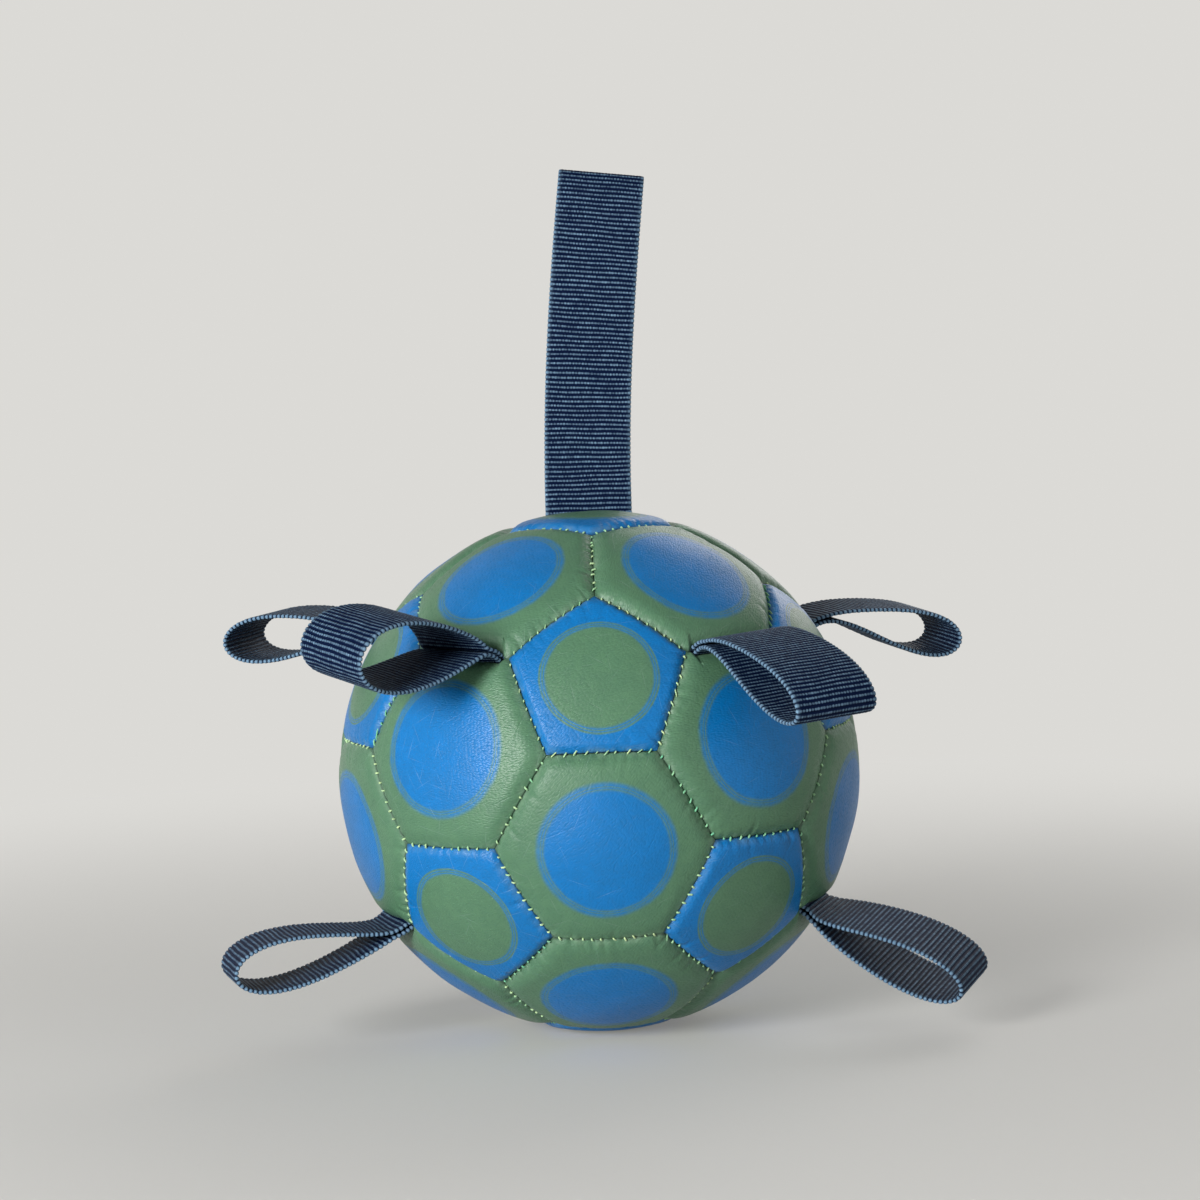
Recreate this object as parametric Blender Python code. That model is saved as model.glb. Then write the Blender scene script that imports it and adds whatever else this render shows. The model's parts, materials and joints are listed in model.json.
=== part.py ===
"""A dog's toy football: sewn panels over an air bladder, with webbing loops sewn into eight seams.

Units are metres and +Z is up. The origin is the middle of the small flat that the ball rests on.
-Y is the front, where one pentagon faces the viewer, and +X is to that viewer's right.
"""

import math

import bmesh
import bpy
from mathutils import Matrix, Quaternion, Vector

# Ball
BALL_RADIUS = 0.075
FOOT_RADIUS = 0.011  # the patch that a soft ball flattens under its own weight
PIECE_GAP = 0.0003  # clearance between pieces that touch

# Panels: a domed shell with a rolled shoulder and a turned-in sewing flange
PANEL_THICKNESS = 0.0016
FLANGE_THICKNESS = 0.0012
FLANGE_DEPTH = 0.0045
SHOULDER_DROP = 0.0018
SHOULDER_WIDTH = 0.004
SHOULDER_KNEE = 0.0013  # width of the steep part of the shoulder, next to the seam
DOME_SHARE = 0.5  # the middle ring of a panel, as a share of the way out to its shoulder

# Seam thread
THREAD_SIZE = 0.0007

# Bladder and valve
BLADDER_WALL = 0.0012
BLADDER_RINGS = 11
BLADDER_SIDES = 22
VALVE_PANEL = "hexagon_lower_3"
VALVE_RADIUS = 0.0032
VALVE_RECESS = 0.0004
VALVE_FLANGE_RADIUS = 0.009
VALVE_FLANGE_THICKNESS = 0.0015
CORE_RADIUS = 0.0013
CORE_LENGTH = 0.006
NEEDLE_DIMPLE = 0.0006
ROUND_SIDES = 16

# Webbing
WEBBING_WIDTH = 0.0254
WEBBING_THICKNESS = 0.0013
LOOP_CUT = 0.104  # webbing outside the seam in one short loop
THROW_CUT = 0.212  # webbing outside the seam in the long throwing strap
SEWN_ROOT = 0.003  # where a loop's two layers still lie together
HINGE_DEPTH = 0.0005  # how far below the ball's surface a loop folds
SWING_LIMIT = math.radians(58)  # the furthest that a loop folds either way at its root
FOLD_GAP = 0.00045  # clearance under the fold
TAIL_NOSE = 0.0001  # half the thickness of a tail's thin end under the fold
TAIL_SLOPE = 0.7  # the slope beside that end, as a share of the steepest that clears a folded loop

# Mesh fineness
STRAND_STEPS = 12
SPINE_STEPS = 120
SMOOTH_ANGLE = math.radians(40)

# Loops: the two panels whose seam holds each one, its webbing, half its opening at the widest, how slowly
# it opens from the seam, and how it hangs. Bend turns it towards the ball's top, lean along its seam and
# twist about its own length, and a high ease has it do so close to the seam.
LOOPS = {
    "throw_strap": {
        "seam": ("pentagon_top", "hexagon_crown_3"),
        "cut": THROW_CUT, "half_opening": 0.0065, "taper": 1.0,
        "bend": 14, "lean": -7, "twist": 0, "ease": 1.6,
    },
    "loop_front_left": {
        "seam": ("hexagon_crown_5", "hexagon_upper_5"),
        "cut": LOOP_CUT, "half_opening": 0.009, "taper": 0.9,
        "bend": -32, "lean": -12, "twist": -10, "ease": 5.5,
    },
    "loop_front_right": {
        "seam": ("hexagon_crown_1", "hexagon_upper_1"),
        "cut": LOOP_CUT, "half_opening": 0.0056, "taper": 1.5,
        "bend": -58, "lean": -4, "twist": 6, "ease": 7.0,
    },
    "loop_back_left": {
        "seam": ("hexagon_crown_4", "hexagon_upper_4"),
        "cut": LOOP_CUT, "half_opening": 0.0063, "taper": 1.5,
        "bend": -38, "lean": -4.5, "twist": -2, "ease": 5.0,
    },
    "loop_back_right": {
        "seam": ("hexagon_crown_2", "hexagon_upper_2"),
        "cut": LOOP_CUT, "half_opening": 0.0058, "taper": 2.2,
        "bend": -47.5, "lean": 1, "twist": 4.5, "ease": 5.5,
    },
    "loop_back": {
        "seam": ("hexagon_crown_3", "hexagon_upper_3"),
        "cut": LOOP_CUT, "half_opening": 0.0062, "taper": 1.5,
        "bend": -43, "lean": 3, "twist": 0, "ease": 5.0,
    },
    "loop_low_left": {
        "seam": ("hexagon_lower_5", "hexagon_base_4"),
        "cut": LOOP_CUT, "half_opening": 0.0065, "taper": 1.4,
        "bend": 22, "lean": -3, "twist": 2, "ease": 9.0,
    },
    "loop_low_right": {
        "seam": ("hexagon_lower_2", "hexagon_base_1"),
        "cut": LOOP_CUT, "half_opening": 0.006, "taper": 1.25,
        "bend": 8, "lean": -2.5, "twist": 10, "ease": 9.0,
    },
}

# Finishes: sRGB colour and roughness
FINISHES = {
    "panel_green": ((92, 136, 96), 0.5),
    "panel_blue": ((40, 124, 198), 0.5),
    "webbing_navy": ((34, 48, 82), 0.8),
    "thread_pale": ((176, 200, 160), 0.7),
    "bladder_rubber": ((32, 32, 34), 0.6),
    "valve_rubber": ((70, 72, 74), 0.55),
}

UP = Vector((0, 0, 1))
RING_SIDES = 5  # the pattern repeats five times round the vertical
FOOT_HEIGHT = math.sqrt(BALL_RADIUS**2 - FOOT_RADIUS**2)  # from the foot up to the ball's middle
ROOT_HALF = WEBBING_THICKNESS + PIECE_GAP / 2  # half of two layers with a gap between them


def clear_scene():
    for old in list(bpy.data.objects):
        bpy.data.objects.remove(old, do_unlink=True)


def linear(channel):
    """An sRGB channel from 0 to 255 as linear light."""
    share = channel / 255
    return share / 12.92 if share <= 0.04045 else ((share + 0.055) / 1.055) ** 2.4


def make_material(name):
    colour, roughness = FINISHES[name]
    material = bpy.data.materials.new(name)
    material.use_nodes = True
    shader = material.node_tree.nodes["Principled BSDF"]
    shader.inputs["Base Color"].default_value = (*map(linear, colour), 1)
    shader.inputs["Roughness"].default_value = roughness
    shader.inputs["Metallic"].default_value = 0
    return material


def add_empty(name, matrix, parent=None):
    empty = bpy.data.objects.new(name, None)
    bpy.context.collection.objects.link(empty)
    empty.parent = parent
    empty.matrix_local = matrix
    return empty


def add_piece(name, bm, material, parent):
    """A mesh object from a bmesh, facing out and shaded smooth apart from its sharp edges."""
    bmesh.ops.recalc_face_normals(bm, faces=bm.faces)
    if bm.calc_volume(signed=True) < 0:
        bmesh.ops.reverse_faces(bm, faces=bm.faces)
    mesh = bpy.data.meshes.new(name)
    bm.to_mesh(mesh)
    bm.free()
    mesh.shade_smooth()
    mesh.set_sharp_from_angle(angle=SMOOTH_ANGLE)
    mesh.materials.append(material)
    piece = bpy.data.objects.new(name, mesh)
    bpy.context.collection.objects.link(piece)
    piece.parent = parent
    return piece


# Layout of the ball: the twelve points of an icosahedron with one at the top


def from_angles(longitude, latitude):
    """A direction, with longitude counted from the front towards the right."""
    flat = math.cos(latitude)
    return Vector((math.sin(longitude) * flat, -math.cos(longitude) * flat, math.sin(latitude)))


def icosahedron_points():
    points = {"top": UP.copy(), "bottom": -UP}
    latitude = math.atan(0.5)
    step = 2 * math.pi / RING_SIDES
    for turn in range(RING_SIDES):
        points["upper", turn] = from_angles(step * turn, latitude)
        points["lower", turn] = from_angles(step * (turn + 0.5), -latitude)
    return points


POINTS = icosahedron_points()


def corner(near, towards):
    """A panel corner: a third of the way along an icosahedron's edge, out on the sphere."""
    return (2 * POINTS[near] + POINTS[towards]).normalized()


def neighbours(point):
    others = [name for name in POINTS if name != point]
    others.sort(key=lambda name: (POINTS[name] - POINTS[point]).length)
    return others[:RING_SIDES]


def in_order(corners):
    """Corners sorted anticlockwise round their middle, seen from outside."""
    middle = sum(corners, Vector()).normalized()
    first = (corners[0] - corners[0].project(middle)).normalized()
    second = middle.cross(first)
    return sorted(corners, key=lambda c: math.atan2(c.dot(second), c.dot(first)))


def pentagon(point):
    return in_order([corner(point, other) for other in neighbours(point)])


def hexagon(a, b, c):
    pairs = [(a, b), (b, a), (b, c), (c, b), (c, a), (a, c)]
    return in_order([corner(near, towards) for near, towards in pairs])


def panel_corners():
    panels = {"pentagon_top": pentagon("top"), "pentagon_bottom": pentagon("bottom")}
    for turn in range(RING_SIDES):
        number = turn + 1
        upper, lower = ("upper", turn), ("lower", turn)
        next_upper = ("upper", number % RING_SIDES)
        next_lower = ("lower", number % RING_SIDES)
        last_lower = ("lower", turn - 1 if turn else RING_SIDES - 1)
        panels[f"pentagon_upper_{number}"] = pentagon(upper)
        panels[f"pentagon_lower_{number}"] = pentagon(lower)
        panels[f"hexagon_crown_{number}"] = hexagon("top", upper, next_upper)
        panels[f"hexagon_upper_{number}"] = hexagon(upper, next_upper, lower)
        panels[f"hexagon_lower_{number}"] = hexagon(upper, last_lower, lower)
        panels[f"hexagon_base_{number}"] = hexagon("bottom", lower, next_lower)
    return panels


PANELS = panel_corners()


def middle_of(panel):
    return sum(PANELS[panel], Vector()).normalized()


def same_point(a, b):
    return (a - b).length < 1e-6


def shared_corners(first, second):
    return [c for c in PANELS[first] if any(same_point(c, d) for d in PANELS[second])]


def seam_frame(loop):
    """A seam's axes: along it towards the right as seen from outside, up over the ball, and out."""
    start, end = shared_corners(*LOOPS[loop]["seam"])
    out = (start + end).normalized()
    along = (end - start).normalized()
    if along.dot(UP.cross(out)) < 0:
        along.negate()
    return along, out.cross(along), out


STRAP_SEAMS = [shared_corners(*loop["seam"]) for loop in LOOPS.values()]


def holds_strap(start, end):
    return any(
        (same_point(start, a) and same_point(end, b)) or (same_point(start, b) and same_point(end, a))
        for a, b in STRAP_SEAMS
    )


# Panels


def shoulder_height(distance):
    """Height of a panel's face against the ball's surface, at a distance in from its edge."""
    left = max(0, 1 - distance / SHOULDER_WIDTH)
    return -SHOULDER_DROP * left**2


def inset_corner(before, here, after, inset):
    """The corner of an outline that lies a distance inside both seams of a panel."""
    first = before.cross(here).normalized()
    second = here.cross(after).normalized()
    rise = math.sin(inset / BALL_RADIUS)
    share = rise / (1 + first.dot(second))
    level = share * (first + second)
    out = first.cross(second).normalized()
    return level + math.sqrt(1 - level.length_squared) * out


def inset_point(start, end, offset, inset):
    """A point beside a seam: offset along it from its middle, and inset into the panel on its left."""
    inward = start.cross(end).normalized()
    middle = (start + end).normalized()
    along = inward.cross(middle)
    turn, tilt = offset / BALL_RADIUS, inset / BALL_RADIUS
    on_seam = math.cos(turn) * middle + math.sin(turn) * along
    return math.cos(tilt) * on_seam + math.sin(tilt) * inward


def outline(corners, distance):
    """A panel's outline at a distance in from its sewn edge. It steps round any webbing in a seam."""
    edge = PIECE_GAP / 2 + distance
    beside_webbing = ROOT_HALF + PIECE_GAP + distance
    slot_half = WEBBING_WIDTH / 2 + PIECE_GAP
    ring = []
    for index, here in enumerate(corners):
        after = corners[(index + 1) % len(corners)]
        ring.append(inset_corner(corners[index - 1], here, after, edge))
        if holds_strap(here, after):
            for offset in (-slot_half, 0, slot_half):
                ring.append(inset_point(here, after, offset, beside_webbing))
        else:
            ring.append(inset_point(here, after, 0, edge))
    return ring


def lowest_lip():
    """The least distance from the ball's middle to a flange's straight inner edge."""
    start, end = PANELS["pentagon_top"][:2]
    half_step = start.angle(end) / 4
    return (BALL_RADIUS - FLANGE_DEPTH) * math.cos(half_step)


def raised(ring, height):
    return [point * (BALL_RADIUS + height) for point in ring]


def drawn_in(ring, middle, share):
    return [middle.lerp(point, share).normalized() for point in ring]


def circle_under(ring, middle, radius):
    """Points straight over a circle about the panel's middle, one on the way to each ring point."""
    height = math.sqrt(BALL_RADIUS**2 - radius**2) / BALL_RADIUS
    points = []
    for point in ring:
        level = (point - point.project(middle)).normalized()
        points.append(middle * height + level * radius / BALL_RADIUS)
    return points


def skin(bm, rings, start=None, end=None):
    """Closes a skin over rings of as many points. Start and end are points that cap it."""
    rows = [[bm.verts.new(point) for point in ring] for ring in rings]
    count = len(rows[0])
    for row, following in zip(rows, rows[1:]):
        for i in range(count):
            j = (i + 1) % count
            bm.faces.new((row[i], row[j], following[j], following[i]))
    for cap, row in ((start, rows[0]), (end, rows[-1])):
        if cap is not None:
            tip = bm.verts.new(cap)
            for i in range(count):
                bm.faces.new((tip, row[i], row[(i + 1) % count]))
    return rows


def build_panel(name, material, parent):
    corners = PANELS[name]
    middle = middle_of(name)
    edge = outline(corners, 0)
    knee = outline(corners, SHOULDER_KNEE)
    brow = outline(corners, SHOULDER_WIDTH)
    flange = outline(corners, FLANGE_THICKNESS)
    dome = raised(drawn_in(brow, middle, DOME_SHARE), 0)
    top = middle * BALL_RADIUS
    if name == "pentagon_bottom":
        dome = raised(circle_under(brow, middle, FOOT_RADIUS), 0)
        top = middle * FOOT_HEIGHT
    under = shoulder_height(FLANGE_THICKNESS) - PANEL_THICKNESS
    rings = [
        dome,
        raised(brow, 0),
        raised(knee, shoulder_height(SHOULDER_KNEE)),
        raised(edge, shoulder_height(0)),
        raised(edge, -FLANGE_DEPTH),
        raised(flange, -FLANGE_DEPTH),
        raised(flange, under),
        raised(brow, -PANEL_THICKNESS),
    ]
    bm = bmesh.new()
    if name == VALVE_PANEL:
        hole = circle_under(brow, middle, VALVE_RADIUS + PIECE_GAP)
        rings = [raised(hole, 0), *rings, raised(hole, -PANEL_THICKNESS)]
        rows = skin(bm, rings)
        for i in range(len(hole)):
            j = (i + 1) % len(hole)
            bm.faces.new((rows[-1][i], rows[-1][j], rows[0][j], rows[0][i]))
    else:
        skin(bm, rings, start=top, end=middle * (BALL_RADIUS - PANEL_THICKNESS))
    return add_piece(name, bm, material, parent)


def build_panels(materials, parent):
    for name in PANELS:
        colour = "panel_blue" if name.startswith("pentagon") else "panel_green"
        build_panel(name, materials[colour], parent)


# Thread, bladder and valve


def thread_radius():
    """Where the thread lies in the groove: its lower corners clear both shoulders."""
    edge_drop, knee_drop = shoulder_height(0), shoulder_height(SHOULDER_KNEE)
    slope = (knee_drop - edge_drop) / SHOULDER_KNEE
    run = max(0, THREAD_SIZE / 2 - PIECE_GAP / 2)
    lower_side = edge_drop + run * slope + PIECE_GAP * math.hypot(1, slope)
    return BALL_RADIUS + lower_side + THREAD_SIZE / 2


def seams():
    """Each seam as two panels, with the place in each one's outline where the seam starts."""
    names = list(PANELS)
    for index, first in enumerate(names):
        for second in names[index + 1 :]:
            shared = shared_corners(first, second)
            if len(shared) == 2:
                yield first, seam_start(first, shared), second, seam_start(second, shared)


def seam_start(panel, shared):
    corners = PANELS[panel]
    for index, here in enumerate(corners):
        after = corners[(index + 1) % len(corners)]
        if all(any(same_point(c, d) for d in shared) for c in (here, after)):
            return index
    raise ValueError(f"{panel} has no seam there")


def thread_sides(bm, corners):
    """The thread's side along one panel: a lower and an upper vertex at each corner and seam middle."""
    half = THREAD_SIZE / 2
    side = []
    for index, here in enumerate(corners):
        after = corners[(index + 1) % len(corners)]
        for point in (
            inset_corner(corners[index - 1], here, after, half),
            inset_point(here, after, 0, half),
        ):
            side.append([bm.verts.new(point * (thread_radius() + rise)) for rise in (-half, half)])
    return side


def build_thread(material, parent):
    """One net of thread along every seam that holds no webbing."""
    bm = bmesh.new()
    sides = {name: thread_sides(bm, corners) for name, corners in PANELS.items()}
    meeting = {}
    for name, corners in PANELS.items():
        for index, here in enumerate(corners):
            key = tuple(round(value, 5) for value in here)
            meeting.setdefault(key, []).append(sides[name][2 * index])
    for level in (0, 1):
        for around in meeting.values():
            bm.faces.new([pair[level] for pair in around])
    for first, start, second, other_start in seams():
        corners, others = PANELS[first], PANELS[second]
        left = [sides[first][(2 * start + i) % (2 * len(corners))] for i in range(3)]
        right = [sides[second][(2 * other_start + 2 - i) % (2 * len(others))] for i in range(3)]
        if holds_strap(corners[start], corners[(start + 1) % len(corners)]):
            for end in (0, 2):
                bm.faces.new((*left[end], *reversed(right[end])))
            continue
        for i in (0, 1):
            for level in (0, 1):
                bm.faces.new((left[i][level], left[i + 1][level], right[i + 1][level], right[i][level]))
            for side in (left, right):
                bm.faces.new((*side[i], *reversed(side[i + 1])))
    return add_piece("seam_thread", bm, material, parent)


def turned(profile, sides):
    """A bmesh of a closed profile of (radius, height) points turned about Z."""
    bm = bmesh.new()
    verts = [bm.verts.new((radius, 0, height)) for radius, height in profile]
    edges = [bm.edges.new((verts[i - 1], verts[i])) for i in range(len(verts))]
    bmesh.ops.spin(
        bm, geom=verts + edges, cent=(0, 0, 0), axis=(0, 0, 1), angle=2 * math.pi, steps=sides, use_merge=True
    )
    bmesh.ops.remove_doubles(bm, verts=bm.verts, dist=1e-6)
    bmesh.ops.dissolve_degenerate(bm, edges=bm.edges, dist=1e-6)
    return bm


def bladder_radii():
    outer = lowest_lip() - PIECE_GAP
    return outer, outer - BLADDER_WALL


def bladder_arc(radius):
    """A half circle of (radius, height) points from the valve hole round to the far side."""
    first = math.asin((VALVE_RADIUS + PIECE_GAP) / radius)
    angles = [first + (math.pi - first) * i / BLADDER_RINGS for i in range(BLADDER_RINGS)]
    return [(radius * math.sin(a), radius * math.cos(a)) for a in angles] + [(0, -radius)]


def build_bladder(material, parent):
    outer, inner = bladder_radii()
    profile = bladder_arc(outer) + bladder_arc(inner)[::-1]
    return add_piece("bladder", turned(profile, BLADDER_SIDES), material, parent)


def flange_top(radius):
    """Height under the bladder's first facet at a radius, less the clearance to it."""
    (r0, z0), (r1, z1) = bladder_arc(bladder_radii()[1])[:2]
    return z0 + (z1 - z0) * (radius - r0) / (r1 - r0) - PIECE_GAP * math.hypot(1, (z1 - z0) / (r1 - r0))


def build_valve(material, parent):
    """The stem with its inner flange and needle bore, and the plug that seals the bore."""
    bore = CORE_RADIUS + PIECE_GAP
    top = BALL_RADIUS - VALVE_RECESS
    rim = flange_top(VALVE_FLANGE_RADIUS)
    bottom = rim - VALVE_FLANGE_THICKNESS
    stem = [
        (bore, top), (VALVE_RADIUS, top), (VALVE_RADIUS, flange_top(VALVE_RADIUS)),
        (VALVE_FLANGE_RADIUS, rim), (VALVE_FLANGE_RADIUS, bottom), (bore, bottom),
    ]
    core = [
        (0, bottom + CORE_LENGTH - NEEDLE_DIMPLE), (NEEDLE_DIMPLE, bottom + CORE_LENGTH),
        (CORE_RADIUS, bottom + CORE_LENGTH), (CORE_RADIUS, bottom), (0, bottom),
    ]
    add_piece("valve_stem", turned(stem, ROUND_SIDES), material, parent)
    add_piece("valve_core", turned(core, ROUND_SIDES), material, parent)


# Webbing loops, in their seam's own axes: X along it, Y up over the ball and Z out


def loop_outline(reach, half, taper):
    """The middle line of a loop's webbing: a teardrop, out along one layer, round its tip and back."""
    root = ROOT_HALF - WEBBING_THICKNESS / 2
    widest = (taper + 1) ** ((taper + 1) / 2) / (taper + 2) ** ((taper + 2) / 2)
    strand = [(0, root)]
    for step in range(STRAND_STEPS + 1):
        angle = math.pi / 2 * step / STRAND_STEPS
        sine, cosine = math.sin(angle), math.cos(angle)
        out = SEWN_ROOT + (reach - SEWN_ROOT) * sine**2
        strand.append((out, root * cosine**2 + half * sine ** (taper + 1) * cosine / widest))
    return strand + [(out, -side) for out, side in reversed(strand[:-1])]


def length_of(line):
    return sum(math.dist(a, b) for a, b in zip(line, line[1:]))


def loop_reach(cut, half, taper):
    """How far out a loop reaches, so that its webbing has its cut length."""
    low, high = SEWN_ROOT, cut / 2
    for _ in range(40):
        reach = (low + high) / 2
        if length_of(loop_outline(reach, half, taper)) > cut:
            high = reach
        else:
            low = reach
    return reach


def loop_spine(loop, reach):
    """Points and axes along a loop's middle as it bends, leans and twists away from the seam."""
    bend, lean, twist = (math.radians(loop[key]) for key in ("bend", "lean", "twist"))
    spine = []
    point = Vector()
    for step in range(SPINE_STEPS + 1):
        eased = 1 - (1 - step / SPINE_STEPS) ** loop["ease"]
        upright = Vector((0, math.sin(bend * eased), math.cos(bend * eased)))
        along = math.cos(lean * eased) * upright + Vector((math.sin(lean * eased), 0, 0))
        across = Vector((math.cos(lean * eased), 0, 0)) - math.sin(lean * eased) * upright
        across.rotate(Quaternion(along, twist * eased))
        spine.append((point.copy(), along, across, along.cross(across)))
        point = point + along * (reach / SPINE_STEPS)
    return spine


def spine_at(spine, reach, out):
    """The spine's point and axes at a distance out from the seam."""
    place = min(max(out / reach, 0), 1) * SPINE_STEPS
    index = min(int(place), SPINE_STEPS - 1)
    return [a.lerp(b, place - index) for a, b in zip(spine[index], spine[index + 1])]


def build_loop(name, loop, material, parent):
    half, taper = loop["half_opening"], loop["taper"]
    reach = loop_reach(loop["cut"], half, taper)
    spine = loop_spine(loop, reach)
    line = loop_outline(reach, half, taper)
    rings = []
    for index, (out, side) in enumerate(line):
        before, after = line[max(index - 1, 0)], line[min(index + 1, len(line) - 1)]
        run, rise = after[0] - before[0], after[1] - before[1]
        scale = WEBBING_THICKNESS / 2 / math.hypot(run, rise)
        ring = []
        for edge, face in ((-1, -1), (1, -1), (1, 1), (-1, 1)):
            foot, along, across, over = spine_at(spine, reach, out)
            up = side + face * run * scale
            forward = -face * rise * scale
            ring.append(foot + over * up + along * forward + across * (edge * WEBBING_WIDTH / 2))
        rings.append(ring)
    bm = bmesh.new()
    rows = skin(bm, rings)
    bm.faces.new(rows[0])
    bm.faces.new(rows[-1])
    add_piece(name, bm, material, parent)


def build_tail(name, material, parent):
    """The sewn-in ends of a loop's webbing, between the two flanges, thin where the loop folds."""
    inner = HINGE_DEPTH - FLANGE_DEPTH
    shoulder = -(ROOT_HALF + PIECE_GAP)
    nose = -FOLD_GAP
    waist = TAIL_NOSE + (nose - shoulder) * math.tan((math.pi / 2 - SWING_LIMIT) * TAIL_SLOPE)
    half = [(TAIL_NOSE, nose), (waist, shoulder), (ROOT_HALF, shoulder), (ROOT_HALF, inner)]
    section = half + [(-side, height) for side, height in reversed(half)]
    bm = bmesh.new()
    rings = [[(x, *point) for point in section] for x in (-WEBBING_WIDTH / 2, WEBBING_WIDTH / 2)]
    rows = skin(bm, rings)
    bm.faces.new(rows[0])
    bm.faces.new(rows[-1])
    add_piece(name, bm, material, parent)


def build_webbing(material, parent):
    for name, loop in LOOPS.items():
        along, over, out = seam_frame(name)
        turn = Matrix((along, over, out)).transposed().to_4x4()
        place = Matrix.Translation(out * (BALL_RADIUS - HINGE_DEPTH))
        hinge = add_empty(f"{name}_hinge", place @ turn, parent)
        build_loop(name, loop, material, hinge)
        build_tail(f"{name}_tail", material, hinge)


def main():
    clear_scene()
    materials = {name: make_material(name) for name in FINISHES}
    ball = add_empty("ball_middle", Matrix.Translation((0, 0, FOOT_HEIGHT)))
    build_panels(materials, ball)
    build_thread(materials["thread_pale"], ball)
    turn = UP.rotation_difference(middle_of(VALVE_PANEL)).to_matrix().to_4x4()
    valve = add_empty("valve_axis", turn, ball)
    build_bladder(materials["bladder_rubber"], valve)
    build_valve(materials["valve_rubber"], valve)
    build_webbing(materials["webbing_navy"], ball)


main()
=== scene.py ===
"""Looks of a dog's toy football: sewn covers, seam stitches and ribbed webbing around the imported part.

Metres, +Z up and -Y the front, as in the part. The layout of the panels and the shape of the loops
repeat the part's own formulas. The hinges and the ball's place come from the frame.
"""

import json
import math

import bpy
import numpy as np
from bpy.props import FloatProperty, FloatVectorProperty, IntProperty, PointerProperty
from mathutils import Matrix, Vector


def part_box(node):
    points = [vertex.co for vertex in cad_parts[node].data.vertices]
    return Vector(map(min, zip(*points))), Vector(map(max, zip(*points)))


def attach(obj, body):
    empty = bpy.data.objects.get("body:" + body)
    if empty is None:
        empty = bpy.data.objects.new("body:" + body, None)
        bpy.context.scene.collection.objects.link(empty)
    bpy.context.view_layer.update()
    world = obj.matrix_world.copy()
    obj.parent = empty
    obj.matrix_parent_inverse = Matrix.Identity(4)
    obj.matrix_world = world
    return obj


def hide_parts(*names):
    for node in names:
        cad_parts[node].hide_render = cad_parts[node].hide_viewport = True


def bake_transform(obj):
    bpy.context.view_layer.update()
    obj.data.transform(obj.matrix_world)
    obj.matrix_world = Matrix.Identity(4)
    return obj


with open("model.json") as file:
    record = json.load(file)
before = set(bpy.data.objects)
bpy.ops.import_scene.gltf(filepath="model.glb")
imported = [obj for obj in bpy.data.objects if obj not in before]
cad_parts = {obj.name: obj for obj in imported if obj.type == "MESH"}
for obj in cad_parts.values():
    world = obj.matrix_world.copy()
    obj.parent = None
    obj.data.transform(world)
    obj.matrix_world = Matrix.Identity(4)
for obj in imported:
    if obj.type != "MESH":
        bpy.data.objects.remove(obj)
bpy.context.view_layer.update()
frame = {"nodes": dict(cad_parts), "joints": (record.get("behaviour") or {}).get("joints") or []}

bl_info = {
    "name": "Toy Football Looks",
    "version": (1, 0, 0),
    "blender": (4, 5, 0),
    "location": "3D View > Sidebar > Toy Football",
    "description": "Dresses a packed toy football with covers, stitches, webbing, materials and a stage",
    "category": "Object",
}

# Sizes that the part fixes
RADIUS = 0.075
FOOT_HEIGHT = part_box("pentagon_top")[1].z - RADIUS
MIDDLE = np.array((0, 0, FOOT_HEIGHT))
RING_SIDES = 5
PIECE_GAP = 0.0003
FLANGE_DEPTH = 0.0045
FLANGE_WIDTH = 0.0012
HINGE_DEPTH = 0.0005
SEWN_ROOT = 0.003
VALVE_PANEL = "hexagon_lower_3"
VALVE_HOLE = 0.0035

# Two directions whose cosine is over this are the same place on the ball
SAME_PLACE = 0.9999

# Mesh steps round and along one stitch, and along one rib of the webbing
STITCH_SIDES = 6
STITCH_RINGS = 7
RIB_ROWS = 6

# Loops: webbing outside the seam, half the opening, how slowly it opens, and how each one hangs
LOOP_CUT = 0.104
LOOPS = {
    "throw_strap": {
        "cut": 0.212, "half": 0.0065, "taper": 1.0, "bend": 14, "lean": -7, "twist": 0, "ease": 1.6,
    },
    "loop_front_left": {
        "cut": LOOP_CUT, "half": 0.009, "taper": 0.9, "bend": -32, "lean": -12, "twist": -10, "ease": 5.5,
    },
    "loop_front_right": {
        "cut": LOOP_CUT, "half": 0.0056, "taper": 1.5, "bend": -58, "lean": -4, "twist": 6, "ease": 7.0,
    },
    "loop_back_left": {
        "cut": LOOP_CUT, "half": 0.0063, "taper": 1.5, "bend": -38, "lean": -4.5, "twist": -2, "ease": 5.0,
    },
    "loop_back_right": {
        "cut": LOOP_CUT, "half": 0.0058, "taper": 2.2, "bend": -47.5, "lean": 1, "twist": 4.5, "ease": 5.5,
    },
    "loop_back": {
        "cut": LOOP_CUT, "half": 0.0062, "taper": 1.5, "bend": -43, "lean": 3, "twist": 0, "ease": 5.0,
    },
    "loop_low_left": {
        "cut": LOOP_CUT, "half": 0.0065, "taper": 1.4, "bend": 22, "lean": -3, "twist": 2, "ease": 9.0,
    },
    "loop_low_right": {
        "cut": LOOP_CUT, "half": 0.006, "taper": 1.25, "bend": 8, "lean": -2.5, "twist": 10, "ease": 9.0,
    },
}

# Camera, as fitted to the photograph's view: its place, and its turn from straight ahead in degrees
CAMERA_PLACE = np.array((-0.0095, -0.8953, 0.1036)) + MIDDLE
CAMERA_YAW = 0.74
CAMERA_PITCH = -3.48
CAMERA_ROLL = -2.21


# Settings


def length(name, description, default):
    return FloatProperty(name=name, description=description, default=default, unit="LENGTH", precision=5)


def whole_number(name, description, default):
    return IntProperty(name=name, description=description, default=default, min=1)


def power(name, description, default):
    return FloatProperty(name=name, description=description, default=default, unit="POWER")


def colour(name, description, default):
    return FloatVectorProperty(
        name=name, description=description, default=default, subtype="COLOR_GAMMA", min=0, max=1
    )


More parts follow.
